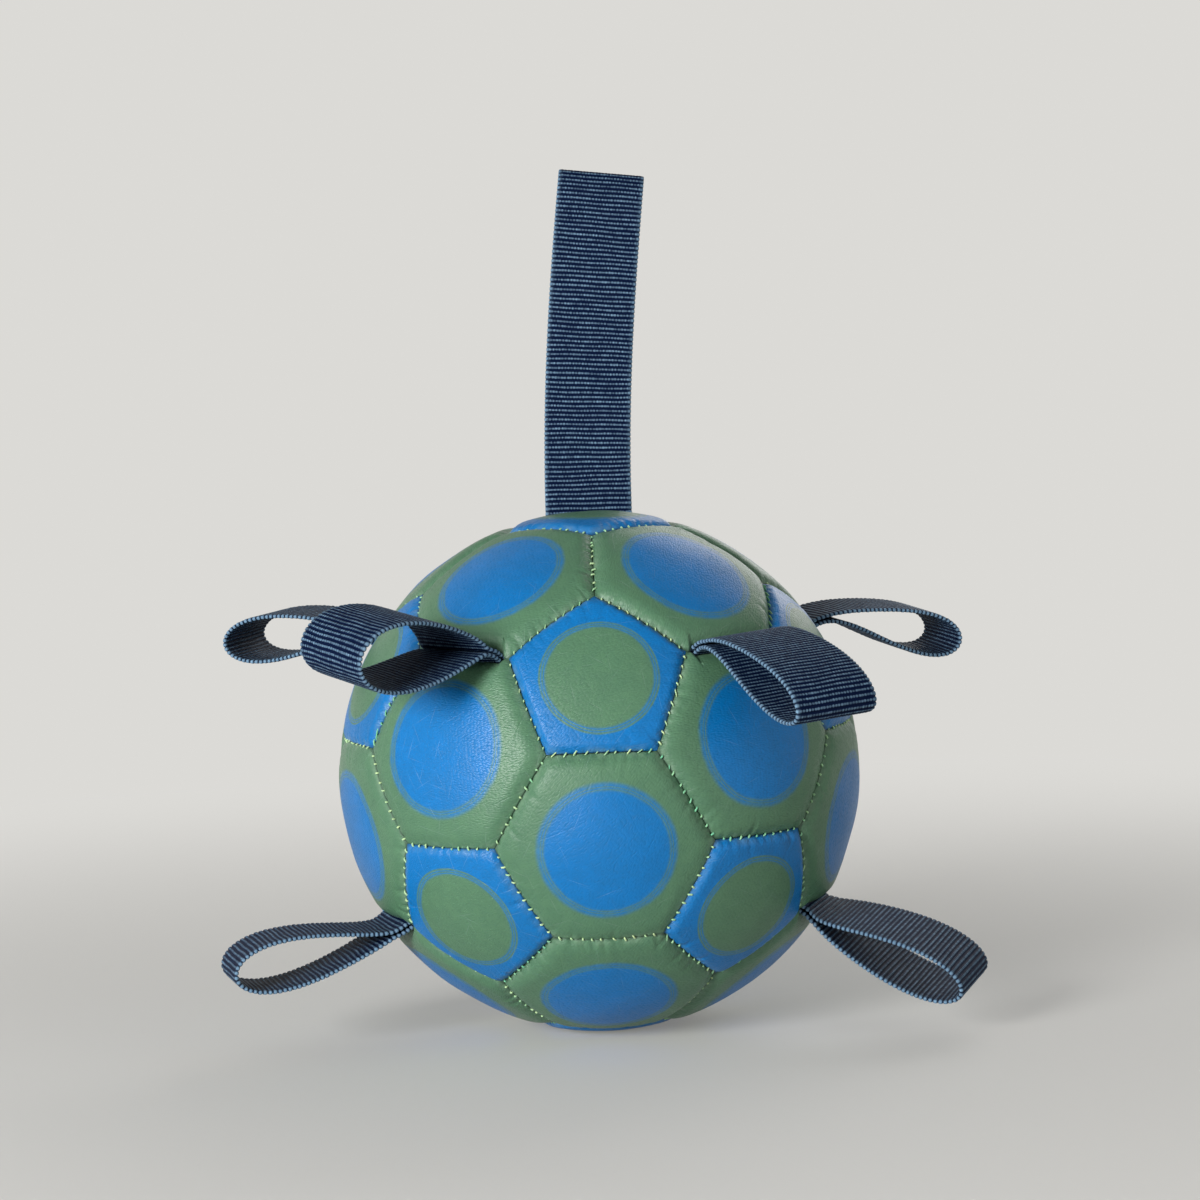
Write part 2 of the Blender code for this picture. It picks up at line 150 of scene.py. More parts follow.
class CoverSettings(bpy.types.PropertyGroup):
    """Shape and colours of the sewn covers."""

    thickness: length("Thickness", "Cover material with its foam backing", 0.0016)
    hexagon_shoulder: length("Hexagon shoulder", "Where a hexagon starts to roll into its seam", 0.0048)
    pentagon_shoulder: length("Pentagon shoulder", "Where a pentagon starts to roll into its seam", 0.0028)
    shoulder_drop: length("Shoulder drop", "How far a cover sinks at its seam", 0.0014)
    corner_round: length("Corner round", "Softness of the corner between two seams", 0.0007)
    pucker: length("Pucker", "How deep each stitch pulls the cover in", 0.00034)
    undulation: length("Undulation", "Slow unevenness of the blown-up cover", 0.00016)
    green: colour("Green", "Hexagons, and the discs on pentagons", (0.335, 0.495, 0.375))
    blue: colour("Blue", "Pentagons, and the discs on hexagons", (0.0, 0.45, 0.73))
    hexagon_disc: length("Hexagon disc", "Radius of the printed disc on a hexagon", 0.0169)
    pentagon_disc: length("Pentagon disc", "Radius of the printed disc on a pentagon", 0.0147)
    edge_steps: whole_number("Edge steps", "Mesh steps along one seam", 60)
    dome_rings: whole_number("Dome rings", "Mesh rings inside the shoulder", 8)


class StitchSettings(bpy.types.PropertyGroup):
    """The thread that shows in the seams."""

    pitch: length("Pitch", "Distance between stitches", 0.0029)
    number: whole_number("Number", "Stitches along one seam", 10)
    thread: length("Thread", "Diameter of the thread", 0.00056)
    span: length("Span", "How far a stitch reaches across its seam", 0.00125)
    tint: colour("Colour", "Colour of the thread", (0.80, 0.90, 0.66))


class WebbingSettings(bpy.types.PropertyGroup):
    """The ribbed strip that every loop is folded from."""

    width: length("Width", "Width of the strip", 0.0254)
    thickness: length("Thickness", "Thickness of the strip at its ribs", 0.0013)
    rib_pitch: length("Rib pitch", "Distance between ribs", 0.00138)
    rib_depth: length("Rib depth", "Depth of the groove between ribs", 0.00042)
    float_depth: length("Float depth", "How far each yarn dips where it passes under", 0.0001)
    drift: length("Drift", "How far the ribs wander along the strip", 0.00013)
    yarns: whole_number("Yarns", "Yarns side by side along the strip", 53)
    navy: colour("Navy", "Colour down in the grooves", (0.0, 0.06, 0.185))
    # The crest colour is a painted highlight along the ribs, over the navy
    crest: colour("Crest", "Colour along the ribs", (0.51, 0.645, 0.755))


class StageSettings(bpy.types.PropertyGroup):
    """Floor, lights and lens."""

    floor: colour("Floor", "Colour of the floor and backdrop", (0.86, 0.855, 0.84))
    key: power("Key", "Power of the soft key light", 20.5)
    fill: power("Fill", "Power of the fill light", 1.8)
    back: power("Back", "Power of the light from behind", 6.0)
    ambient: FloatProperty(name="Ambient", description="Strength of the light from all round", default=0.22)
    lens: FloatProperty(name="Lens", description="Focal length in millimetres", default=93.2, unit="CAMERA")


# Layout of the ball, as in the part


def unit(v):
    v = np.asarray(v, float)
    return v / np.linalg.norm(v, axis=-1, keepdims=True)


def from_angles(longitude, latitude):
    """A direction, with longitude counted from the front towards the right."""
    flat = math.cos(latitude)
    return np.array((math.sin(longitude) * flat, -math.cos(longitude) * flat, math.sin(latitude)))


def icosahedron_points():
    """The middles of the twelve pentagons, by name."""
    points = {"top": np.array((0.0, 0, 1)), "bottom": np.array((0.0, 0, -1))}
    latitude = math.atan(0.5)
    step = 2 * math.pi / RING_SIDES
    for turn in range(RING_SIDES):
        points["upper", turn] = from_angles(step * turn, latitude)
        points["lower", turn] = from_angles(step * (turn + 0.5), -latitude)
    return points


POINTS = icosahedron_points()


def corner(near, towards):
    """The corner a third of the way from one pentagon's middle to the next one's."""
    return unit(2 * POINTS[near] + POINTS[towards])


def in_order(corners):
    """Corners sorted anticlockwise round their middle, seen from outside."""
    corners = np.array(corners)
    middle = unit(corners.sum(0))
    first = unit(corners[0] - corners[0] @ middle * middle)
    second = np.cross(middle, first)
    return corners[np.argsort(np.arctan2(corners @ second, corners @ first))]


def pentagon(point):
    others = sorted(POINTS, key=lambda name: np.linalg.norm(POINTS[name] - POINTS[point]))
    return in_order([corner(point, other) for other in others[1 : RING_SIDES + 1]])


def hexagon(a, b, c):
    pairs = [(a, b), (b, a), (b, c), (c, b), (c, a), (a, c)]
    return in_order([corner(near, towards) for near, towards in pairs])


def panel_corners():
    """Each panel's corners, by the panel's name in the part."""
    panels = {"pentagon_top": pentagon("top"), "pentagon_bottom": pentagon("bottom")}
    for turn in range(RING_SIDES):
        number = turn + 1
        upper, lower = ("upper", turn), ("lower", turn)
        next_upper = ("upper", number % RING_SIDES)
        next_lower = ("lower", number % RING_SIDES)
        last_lower = ("lower", (turn - 1) % RING_SIDES)
        panels[f"pentagon_upper_{number}"] = pentagon(upper)
        panels[f"pentagon_lower_{number}"] = pentagon(lower)
        panels[f"hexagon_crown_{number}"] = hexagon("top", upper, next_upper)
        panels[f"hexagon_upper_{number}"] = hexagon(upper, next_upper, lower)
        panels[f"hexagon_lower_{number}"] = hexagon(upper, last_lower, lower)
        panels[f"hexagon_base_{number}"] = hexagon("bottom", lower, next_lower)
    return panels


PANELS = panel_corners()


def hinges():
    """Each loop's place and axes: along its seam, up over the ball, and out."""
    found = {}
    for joint in frame["joints"]:
        place, along = np.array(joint["pos_m"]), unit(joint["axis"])
        out = unit(place - MIDDLE)
        found[joint["child"]] = (place, along, np.cross(out, along), out)
    return found


HINGES = hinges()

# How far the seams' openness varies, and the waves over the ball that scatter it
SEAM_VARIETY = 0.35
SEAM_WAVES = np.array((31.0, 47.0, 59.0))


class Seams:
    """The seams round one panel: their directions, which ones hold webbing, and how open each one lies.

    A seam's openness comes from its place, so that both of its covers sink alike.
    """

    def __init__(self, corners):
        after = np.roll(corners, -1, axis=0)
        self.inward = unit(np.cross(corners, after))
        self.middle = unit(corners + after)
        self.along = np.cross(self.inward, self.middle)
        outs = np.array([hinge[3] for hinge in HINGES.values()])
        self.holds_webbing = (self.middle @ outs.T > SAME_PLACE).any(axis=1)
        self.openness = 1 + SEAM_VARIETY * np.sin(self.middle @ SEAM_WAVES)

    def measure(self, points):
        """How far each point lies in from each seam, and along it from its middle."""
        inset = RADIUS * np.arcsin(np.clip(points @ self.inward.T, -1, 1))
        place = RADIUS * np.arctan2(points @ self.along.T, points @ self.middle.T)
        return inset, place


def smooth_step(share):
    share = np.clip(share, 0, 1)
    return share * share * (3 - 2 * share)


# Covers


def webbing_opening(seams, place):
    """How far the webbing in a seam pushes a cover's edge back, at each place along it."""
    webbing = bpy.context.scene.football_webbing
    ease = 0.0012
    open_half = webbing.thickness + PIECE_GAP
    window = smooth_step((webbing.width / 2 + ease - np.abs(place)) / ease)
    return open_half * window * seams.holds_webbing


def shoulder(inset, width):
    """Height of a cover against the ball's surface, at a distance in from its edge."""
    return -bpy.context.scene.football_covers.shoulder_drop * np.clip(1 - inset / width, 0, 1) ** 2


def stitch_places():
    """Where the stitches lie along a seam, from its middle."""
    stitches = bpy.context.scene.football_stitches
    return (np.arange(stitches.number) - (stitches.number - 1) / 2) * stitches.pitch


def stitch_pulls(random, seams, inset, place):
    """How far the stitches pull a cover's edge in: a dimple at each, and a wrinkle at some."""
    deepest = bpy.context.scene.football_covers.pucker
    dimples_and_wrinkle = (0.0010, 0.0013, 0.0018, 0.0038)
    total = np.zeros(len(inset))
    for seam in np.flatnonzero(~seams.holds_webbing):
        tightness = random.uniform(0.4, 1.4)
        for spot in stitch_places():
            reach = random.choice(dimples_and_wrinkle)
            slope = random.uniform(-0.3, 0.3)
            width = random.uniform(0.0006, 0.0009)
            depth = deepest * tightness * random.uniform(0.6, 1.3)
            away = (place[:, seam] - spot - slope * inset[:, seam]) / width
            total -= depth * np.exp(-(away**2) - (inset[:, seam] / reach) ** 2)
    return total


def crease_heights(random, inset, place):
    """A few longer creases that run in from the seams."""
    total = np.zeros(len(inset))
    for seam in range(inset.shape[1]):
        for _ in range(random.integers(1, 4)):
            start = random.uniform(-0.012, 0.012)
            reach = random.uniform(0.005, 0.013)
            slope = random.uniform(-0.7, 0.7)
            width = random.uniform(0.0007, 0.0013)
            depth = random.uniform(0.00005, 0.0002)
            away = (place[:, seam] - start - slope * inset[:, seam]) / width
            fading = np.clip(1 - inset[:, seam] / reach, 0, 1) ** 1.5
            total -= depth * np.exp(-(away**2)) * fading
    return total


def slow_waves(random, points, size):
    """A smooth random unevenness, in waves from a third of a panel's width to nearly all of it."""
    waves = 9
    total = np.zeros(len(points))
    for _ in range(waves):
        direction = unit(random.normal(size=3)) * random.uniform(10, 26)
        total += np.sin(points @ direction + random.uniform(0, 2 * math.pi))
    return size * total / math.sqrt(waves)


def cover_heights(seams, points, width, random):
    """Height of a cover's face over the ball, and each point's distance in from the nearest edge."""
    covers = bpy.context.scene.football_covers
    held_flat = 0.003
    inset, place = seams.measure(points)
    inset = inset - webbing_opening(seams, place)
    pull = np.exp(-inset / covers.corner_round)
    near = -covers.corner_round * np.log(pull.sum(axis=1))
    near = np.maximum(near, 0)
    inset = np.maximum(inset, 0)
    heights = shoulder(near, width) * (pull @ seams.openness) / pull.sum(axis=1)
    heights += stitch_pulls(random, seams, inset, place)
    heights += crease_heights(random, inset, place)
    heights += slow_waves(random, points, covers.undulation) * smooth_step(near / held_flat)
    return heights, near


def inset_corners(corners, inset):
    """The corners of an outline that lies a distance inside all of a panel's seams."""
    first = unit(np.cross(np.roll(corners, 1, axis=0), corners))
    second = unit(np.cross(corners, np.roll(corners, -1, axis=0)))
    share = math.sin(inset / RADIUS) / (1 + (first * second).sum(axis=1, keepdims=True))
    level = share * (first + second)
    out = unit(np.cross(first, second))
    return level + np.sqrt(1 - (level**2).sum(axis=1, keepdims=True)) * out


def outline(corners, seams, inset):
    """A ring of directions a distance in from a panel's edge, which steps round any webbing."""
    steps = bpy.context.scene.football_covers.edge_steps
    pushed_in = 0.009
    starts = inset_corners(corners, inset)
    ends = np.roll(starts, -1, axis=0)
    shares = (np.arange(steps) / steps)[None, :, None]
    ring = unit(starts[:, None] * (1 - shares) + ends[:, None] * shares)
    for index in np.flatnonzero(seams.holds_webbing):
        _, place = seams.measure(ring[index])
        push = webbing_opening(seams, place)[:, index] * (1 - smooth_step(inset / pushed_in))
        ring[index] = unit(ring[index] + push[:, None] / RADIUS * seams.inward[index])
    return ring.reshape(-1, 3)


def ring_faces(first, second, count):
    """Quads between two rings of as many vertices that start at the given numbers."""
    i = np.arange(count)
    j = (i + 1) % count
    return np.stack((first + i, first + j, second + j, second + i), axis=1).tolist()


def fan_faces(tip, start, count, flip=False):
    """Triangles between a vertex and a ring of vertices that starts at the given number."""
    i = start + np.arange(count)
    j = start + (np.arange(count) + 1) % count
    first, second = (j, i) if flip else (i, j)
    return np.stack((np.full(count, tip), first, second), axis=1).tolist()


def mesh_object(name, verts, faces):
    """A smoothly shaded piece in the scene."""
    mesh = bpy.data.meshes.new(name)
    mesh.from_pydata(np.asarray(verts).tolist(), [], faces)
    mesh.update()
    mesh.shade_smooth()
    piece = bpy.data.objects.new(name, mesh)
    bpy.context.scene.collection.objects.link(piece)
    return piece


def point_attribute(piece, name, values):
    """A vector for each vertex, which the materials read."""
    layer = piece.data.attributes.new(name, "FLOAT_VECTOR", "POINT")
    layer.data.foreach_set("vector", np.asarray(values, np.float32).ravel())


def panel_axes(middle):
    """Directions to the right and up across a panel, seen from outside."""
    guide = np.array((0.0, 1, 0)) if abs(middle[2]) > 0.99 else np.array((0.0, 0, 1))
    up = unit(guide - guide @ middle * middle)
    return np.cross(up, middle), up


def hole_ring(ring, middle, radius):
    """A circle round a panel's middle with one point on the way to each point of a ring."""
    level = unit(ring - (ring @ middle)[:, None] * middle)
    return unit(middle * math.sqrt(RADIUS**2 - radius**2) + level * radius)


def shoulder_rings(corners, seams, width):
    """Rings of directions from a cover's edge to just past its shoulder, closer together at the edge."""
    steps, past, crowding = 12, 1.15, 1.5
    edge = PIECE_GAP / 4
    insets = edge + (width * past - edge) * np.linspace(0, 1, steps) ** crowding
    return [outline(corners, seams, inset) for inset in insets]


def dome_rings(brow, middle, has_valve):
    """Rings on from the shoulder's last one towards a cover's middle, or to the hole for the valve."""
    panel_half = 0.022
    inner = VALVE_HOLE / panel_half if has_valve else 0
    shares = np.linspace(1, inner, bpy.context.scene.football_covers.dome_rings + 1)[1:-1]
    rings = [unit(middle + (brow - middle) * share) for share in shares]
    return rings + [hole_ring(brow, middle, VALVE_HOLE)] if has_valve else rings


def under_rings(corners, seams, rings, has_valve):
    """Rings of points under a cover: down and round its sewing flange, and back under its face."""
    covers = bpy.context.scene.football_covers
    flange = outline(corners, seams, FLANGE_WIDTH)
    under = [
        rings["edge"] * (RADIUS - FLANGE_DEPTH),
        flange * (RADIUS - FLANGE_DEPTH),
        flange * (RADIUS - covers.shoulder_drop - covers.thickness),
        rings["brow"] * (RADIUS - covers.thickness),
    ]
    if has_valve:
        under.append(rings["inner"] * (RADIUS - covers.thickness))
    return under


def cover_faces(count, face_rings, under_count, has_valve):
    """Faces of a cover whose rings follow one another: in over its face, and again in underneath."""
    faces = []
    for ring in range(face_rings - 1):
        faces += ring_faces(ring * count, (ring + 1) * count, count)
    innermost = (face_rings - 1) * count
    start = face_rings * count + (0 if has_valve else 1)
    faces += ring_faces(start, 0, count)
    for ring in range(under_count - 1):
        faces += ring_faces(start + (ring + 1) * count, start + ring * count, count)
    last = start + (under_count - 1) * count
    if has_valve:
        return faces + ring_faces(innermost, last, count)
    faces += fan_faces(innermost + count, innermost, count)
    return faces + fan_faces(last + count, last, count, flip=True)


def mark_places(piece, directions, deep, middle, index, random):
    """Each vertex's place on its panel, for the print, and on the slanted grain of its own material."""
    print_slip, grain_lean, lean_spread, cut_apart = 0.00025, 0.45, 0.2, 0.05
    right, up = panel_axes(middle)
    place = np.stack((directions @ right * RADIUS, directions @ up * RADIUS, deep), axis=1)
    place[:, :2] += random.normal(0, print_slip, 2)
    point_attribute(piece, "panel_place", place)
    lean = random.normal(grain_lean, lean_spread)
    grain = [
        place[:, 0] * math.cos(lean) + place[:, 1] * math.sin(lean),
        place[:, 1] * math.cos(lean) - place[:, 0] * math.sin(lean),
        np.full(len(place), index * cut_apart),
    ]
    point_attribute(piece, "grain_place", np.stack(grain, axis=1))


def make_cover(name, corners, index):
    """One panel's cover: its domed face, its sewing flange and its underside."""
    covers = bpy.context.scene.football_covers
    random = np.random.default_rng(index)
    seams = Seams(corners)
    middle = unit(corners.sum(axis=0))
    width = covers.pentagon_shoulder if name.startswith("pentagon") else covers.hexagon_shoulder
    has_valve = name == VALVE_PANEL
    rings = shoulder_rings(corners, seams, width)
    named = {"edge": rings[0], "brow": rings[-1]}
    rings += dome_rings(rings[-1], middle, has_valve)
    named["inner"] = rings[-1]
    tip = [] if has_valve else [middle[None]]
    face = np.concatenate([*rings, *tip])
    heights, near = cover_heights(seams, face, width, random)
    top = face * (RADIUS + heights[:, None])
    under = under_rings(corners, seams, named, has_valve)
    under_tip = [point * (RADIUS - covers.thickness) for point in tip]
    verts = np.concatenate([top, *under, *under_tip])
    verts[:, 2] = np.maximum(verts[:, 2], -FOOT_HEIGHT)
    faces = cover_faces(len(rings[0]), len(rings), len(under), has_valve)
    piece = mesh_object(f"cover_{name}", verts + MIDDLE, faces)
    deep = np.concatenate([near, np.zeros(len(verts) - len(near))])
    mark_places(piece, unit(verts), deep, middle, index, random)
    return piece


class FOOTBALL_OT_covers(bpy.types.Operator):
    """Sew the thirty-two printed covers"""

    bl_idname = "football.covers"
    bl_label = "Covers"

    def execute(self, context):
        materials = {"panel_green": cover_material("hexagon"), "panel_blue": cover_material("pentagon")}
        for index, (name, corners) in enumerate(PANELS.items()):
            slot = "panel_blue" if name.startswith("pentagon") else "panel_green"
            piece = make_cover(name, corners, index)
            piece.data.materials.append(materials[slot])
            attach(piece, "ball")
            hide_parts(name)
        return {"FINISHED"}


# Stitches


def stitch_mesh(centre, along, across, openness, skew, sunk, random):
    """One stitch: a short slanted arch of thread over the seam, with both ends sunk into the covers."""
    settings = bpy.context.scene.football_stitches
    width = bpy.context.scene.football_covers.pentagon_shoulder
    bridge = 0.00042
    ends_down, ends_thin = 0.9, 0.45
    off_seam, off_place, off_slant = 0.00012, 0.00025, 0.18
    half = settings.span / 2 * random.uniform(0.45, 1.2)
    reach = np.linspace(-1, 1, STITCH_RINGS)
    side = reach * half + random.normal(0, off_seam)
    lift = shoulder(np.maximum(np.abs(side), bridge), width) * openness
    lift += settings.thread * (random.uniform(-0.1, 0.3) - sunk)
    lift -= settings.thread * ends_down * np.abs(reach) ** 4
    radii = settings.thread / 2 * (1 - ends_thin * reach**6)
    turn = 2 * math.pi * np.arange(STITCH_SIDES) / STITCH_SIDES
    slant = skew + random.normal(0, off_slant)
    offset = side * math.tan(slant) + random.normal(0, off_place)
    spine = centre * (RADIUS + lift)[:, None] + across * side[:, None] + along * offset[:, None]
    round_it = np.cos(turn)[:, None] * centre + np.sin(turn)[:, None] * along
    verts = spine[:, None] + radii[:, None, None] * round_it
    return np.concatenate([verts.reshape(-1, 3), spine[:1], spine[-1:]])


def stitch_faces(start):
    """Faces of a stitch whose vertices start at the given number."""
    starts = [start + ring * STITCH_SIDES for ring in range(STITCH_RINGS)]
    faces = []
    for first, second in zip(starts, starts[1:]):
        faces += ring_faces(first, second, STITCH_SIDES)
    tips = start + STITCH_RINGS * STITCH_SIDES
    faces += fan_faces(tips, starts[0], STITCH_SIDES, flip=True)
    faces += fan_faces(tips + 1, starts[-1], STITCH_SIDES)
    return faces


def make_stitches():
    """All the stitches as one piece, each seam with its own slant, depth and shade."""
    random = np.random.default_rng(7)
    verts, faces, tints = [], [], []
    seen = set()
    for corners in PANELS.values():
        seams = Seams(corners)
        for index, middle in enumerate(seams.middle):
            key = tuple(np.round(middle, 4))
            if key in seen or seams.holds_webbing[index]:
                continue
            seen.add(key)
            skew = random.choice((-1, 1)) * random.uniform(0.1, 0.8)
            sunk = random.uniform(-0.1, 0.65)
            shade = random.choice((0.15, 0.45, 0.8))
            for spot in stitch_places():
                turn = spot / RADIUS
                centre = math.cos(turn) * middle + math.sin(turn) * seams.along[index]
                along = math.cos(turn) * seams.along[index] - math.sin(turn) * middle
                across = seams.inward[index]
                made = stitch_mesh(centre, along, across, seams.openness[index], skew, sunk, random)
                faces += stitch_faces(len(verts) * len(made))
                verts.append(made)
                tint = np.clip(random.normal(shade, 0.15), 0, 1)
                tints.append(np.full((len(made), 3), tint))
    piece = mesh_object("seam_stitches", np.concatenate(verts) + MIDDLE, faces)
    point_attribute(piece, "tint", np.concatenate(tints))
    return piece


class FOOTBALL_OT_stitches(bpy.types.Operator):
    """Lay a stitch every few millimetres along every open seam"""

    bl_idname = "football.stitches"
    bl_label = "Stitches"

    def execute(self, context):
        piece = make_stitches()
        piece.data.materials.append(thread_material())
        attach(piece, "ball")
        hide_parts("seam_thread")
        return {"FINISHED"}


# Webbing, in each seam's own axes: X along it, Y up over the ball and Z out


def loop_line(loop, reach, steps=90):
    """The middle line of a loop's webbing, as (out, side): a teardrop between its two sewn-in tails."""
    root = webbing_root()
    taper = loop["taper"]
    widest = (taper + 1) ** ((taper + 1) / 2) / (taper + 2) ** ((taper + 2) / 2)
    angle = np.linspace(0, math.pi / 2, steps)
    sine, cosine = np.sin(angle), np.cos(angle)
    out = SEWN_ROOT + (reach - SEWN_ROOT) * sine**2
    side = root * cosine**2 + loop["half"] * sine ** (taper + 1) * cosine / widest
    tail = HINGE_DEPTH - FLANGE_DEPTH
    one = np.array([(tail, root), (0, root), *zip(out, side)])
    return np.concatenate([one, one[-2::-1] * (1, -1)])


def webbing_root():
    """Half the distance between the middles of the two layers in a seam."""
    return (bpy.context.scene.football_webbing.thickness + PIECE_GAP) / 2


def run_of(line):
    """Length along a line at each of its points."""
    return np.concatenate([[0], np.cumsum(np.linalg.norm(np.diff(line, axis=0), axis=1))])


def loop_reach(loop):
    """How far out a loop reaches, so that its webbing has its cut length."""
    low, high = SEWN_ROOT, loop["cut"] / 2
    whole = loop["cut"] + 2 * (FLANGE_DEPTH - HINGE_DEPTH)
    halvings = 40
    for _ in range(halvings):
        reach = (low + high) / 2
        if run_of(loop_line(loop, reach))[-1] > whole:
            high = reach
        else:
            low = reach
    return reach


def loop_spine(loop, reach, steps=480):
    """Points and axes along a loop's middle as it bends, leans and twists away from the seam."""
    bend, lean, twist = (math.radians(loop[key]) for key in ("bend", "lean", "twist"))
    eased = 1 - (1 - np.arange(steps + 1) / steps) ** loop["ease"]
    nothing = np.zeros_like(eased)
    upright = np.stack((nothing, np.sin(bend * eased), np.cos(bend * eased)), axis=1)
    seamwise = np.array((1.0, 0, 0))
    tilt = (lean * eased)[:, None]
    along = np.cos(tilt) * upright + np.sin(tilt) * seamwise
    across = np.cos(tilt) * seamwise - np.sin(tilt) * upright
    spin = (twist * eased)[:, None]
    across = np.cos(spin) * across + np.sin(spin) * np.cross(along, across)
    points = np.concatenate([np.zeros((1, 3)), np.cumsum(along[:-1], axis=0)]) * (reach / steps)
    return points, along, across, np.cross(along, across)


def along_spine(spine, reach, out):
    """The spine's points and axes at distances out from the seam, straight on below it."""
    stations = np.linspace(0, reach, len(spine[0]))
    found = [
        np.stack([np.interp(out, stations, column) for column in part.T], axis=1) for part in spine
    ]
    found[0] = found[0] + np.minimum(out, 0)[:, None] * np.array((0, 0, 1.0))
    return found


def strip_section(settings, edge_steps=4):
    """A strip's cross-section as (across, face), once round it: a point to a yarn, and round selvedges."""
    flat = (settings.width - settings.thickness) / 2
    yarns = np.linspace(-flat, flat, settings.yarns)
    angles = math.pi * (0.5 - np.arange(1, edge_steps) / edge_steps)
    edge = np.stack((flat + settings.thickness / 2 * np.cos(angles), np.sin(angles)), axis=1)
    face = np.stack((yarns, np.ones_like(yarns)), axis=1)
    half = np.concatenate([face, edge])
    return np.concatenate([half, -half])


def weave(random, rows, section, settings):
    """How high each row lies, from 0 in a groove to 1 on a rib, and how far each yarn dips there."""
    woven_dip, uneven_dip = 0.7, 0.6
    rib, phase = np.divmod(np.arange(rows) / RIB_ROWS, 1)
    crest = np.sqrt(np.clip(1 - (2 * phase - 1) ** 2, 0, 1))
    share = section[:, 0] / (settings.width - settings.thickness) + 0.5
    yarn = np.round(share * (settings.yarns - 1))
    rib = rib.astype(int)
    under = (rib[:, None] + yarn + (section[:, 1] < 0)) % 2
    slack = random.uniform(0, uneven_dip, (rib[-1] + 1, len(section)))
    on_face = np.abs(section[:, 1]) == 1
    return crest[:, None], (woven_dip * under + slack[rib]) * on_face


def rib_drift(random, run, across, size):
    """How far the ribs wander along the strip: slow waves, because no rib lies quite straight."""
    waves = 6
    slowest, fastest, slant = 150, 500, 250
    total = np.zeros((len(run), len(across)))
    for _ in range(waves):
        lengthwise = random.uniform(slowest, fastest)
        crosswise = random.normal(0, slant)
        start = random.uniform(0, 2 * math.pi)
        total += np.sin(lengthwise * run[:, None] + crosswise * across + start)
    return size * total / math.sqrt(waves)


def make_webbing(name, loop, index):
    """One loop's strip of webbing, with its ribs and yarns, and the strip's whole length."""
    settings = bpy.context.scene.football_webbing
    random = np.random.default_rng(index)
    selvedge_swell, middle_crest, dipped = 0.02, 0.7, 0.16
    reach = loop_reach(loop)
    line = loop_line(loop, reach)
    lengths = run_of(line)
    rows = round(lengths[-1] / settings.rib_pitch) * RIB_ROWS + 1
    run = np.linspace(0, lengths[-1], rows)
    out, side = (np.interp(run, lengths, line[:, k]) for k in (0, 1))
    slope = unit(np.stack((np.gradient(out), np.gradient(side)), axis=1))
    foot, along, across, over = along_spine(loop_spine(loop, reach), reach, out)

    section = strip_section(settings)
    crest, dip = weave(random, rows, section, settings)
    half = settings.thickness / 2 - settings.rib_depth * (1 - crest)
    rise = (half - settings.float_depth * crest * dip) * section[:, 1]
    at_edge = np.abs(section[:, 1]) < 1
    offset = section[:, 0] * (1 + selvedge_swell * (crest - middle_crest) * at_edge)
    drift = rib_drift(random, run, section[:, 0], settings.drift)
    up = side[:, None] + rise * slope[:, :1] + drift * slope[:, 1:]
    forward = drift * slope[:, :1] - rise * slope[:, 1:]
    local = foot[:, None] + over[:, None] * up[..., None]
    local = local + along[:, None] * forward[..., None] + across[:, None] * offset[..., None]

    place, seamwise, upward, outward = HINGES[name]
    count = len(section)
    verts = local.reshape(-1, 3) @ np.stack((seamwise, upward, outward)) + place
    faces = []
    for row in range(rows - 1):
        faces += ring_faces(row * count, (row + 1) * count, count)
    faces += [list(range(count))[::-1], list(range((rows - 1) * count, rows * count))]
    piece = mesh_object(f"webbing_{name}", verts, faces)
    flat = np.ones((rows, count))
    strip = np.stack((flat * run[:, None], flat * section[:, 0], crest * (1 - dipped * dip)), axis=2)
    point_attribute(piece, "strip", strip.reshape(-1, 3))
    return piece, lengths[-1]


class FOOTBALL_OT_webbing(bpy.types.Operator):
    """Fold a strip of ribbed webbing for every loop"""

    bl_idname = "football.webbing"
    bl_label = "Webbing"

    def execute(self, context):
        material = webbing_material()
        for index, (name, loop) in enumerate(LOOPS.items()):
            piece, whole = make_webbing(name, loop, index)
            piece.data.materials.append(material)
            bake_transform(piece)
            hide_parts(name, f"{name}_tail")
        return {"FINISHED"}


# Node helpers


def add(tree, kind, inputs=None, **settings):
    """A node with its settings, and its inputs set to values or linked to other nodes' sockets."""
    node = tree.nodes.new(kind)
    for key, value in settings.items():
        setattr(node, key, value)
    for key, value in (inputs or {}).items():
        if isinstance(value, bpy.types.NodeSocket):
            tree.links.new(value, node.inputs[key])
        else:
            node.inputs[key].default_value = value
    return node


def maths(tree, operation, *values):
    return add(tree, "ShaderNodeMath", dict(enumerate(values)), operation=operation).outputs[0]


def mix(tree, factor, a, b):
    return add(tree, "ShaderNodeMix", {0: factor, 6: a, 7: b}, data_type="RGBA").outputs[2]


def fade(tree, tone, mask, amount, to):
    """A tone faded by some amount towards another, where a mask says so."""
    return mix(tree, maths(tree, "MULTIPLY", mask, amount), tone, to)


def stretch(tree, vector, by):
    """A vector drawn out by its own amount along each axis."""
    return add(tree, "ShaderNodeVectorMath", {0: vector, 1: by}, operation="MULTIPLY").outputs[0]


def distance(tree, vector):
    return add(tree, "ShaderNodeVectorMath", {0: vector}, operation="LENGTH").outputs["Value"]


def ramp(tree, value, low, high, to_low=0.0, to_high=1.0):
    """A value eased from one range to another."""
    inputs = {0: value, 1: low, 2: high, 3: to_low, 4: to_high}
    return add(tree, "ShaderNodeMapRange", inputs, interpolation_type="SMOOTHSTEP").outputs[0]


def noise(tree, vector, scale, detail=3.0, roughness=0.55):
    inputs = {"Vector": vector, "Scale": scale, "Detail": detail, "Roughness": roughness}
    return add(tree, "ShaderNodeTexNoise", inputs).outputs["Fac"]


def object_place(tree):
    return add(tree, "ShaderNodeTexCoord").outputs["Object"]


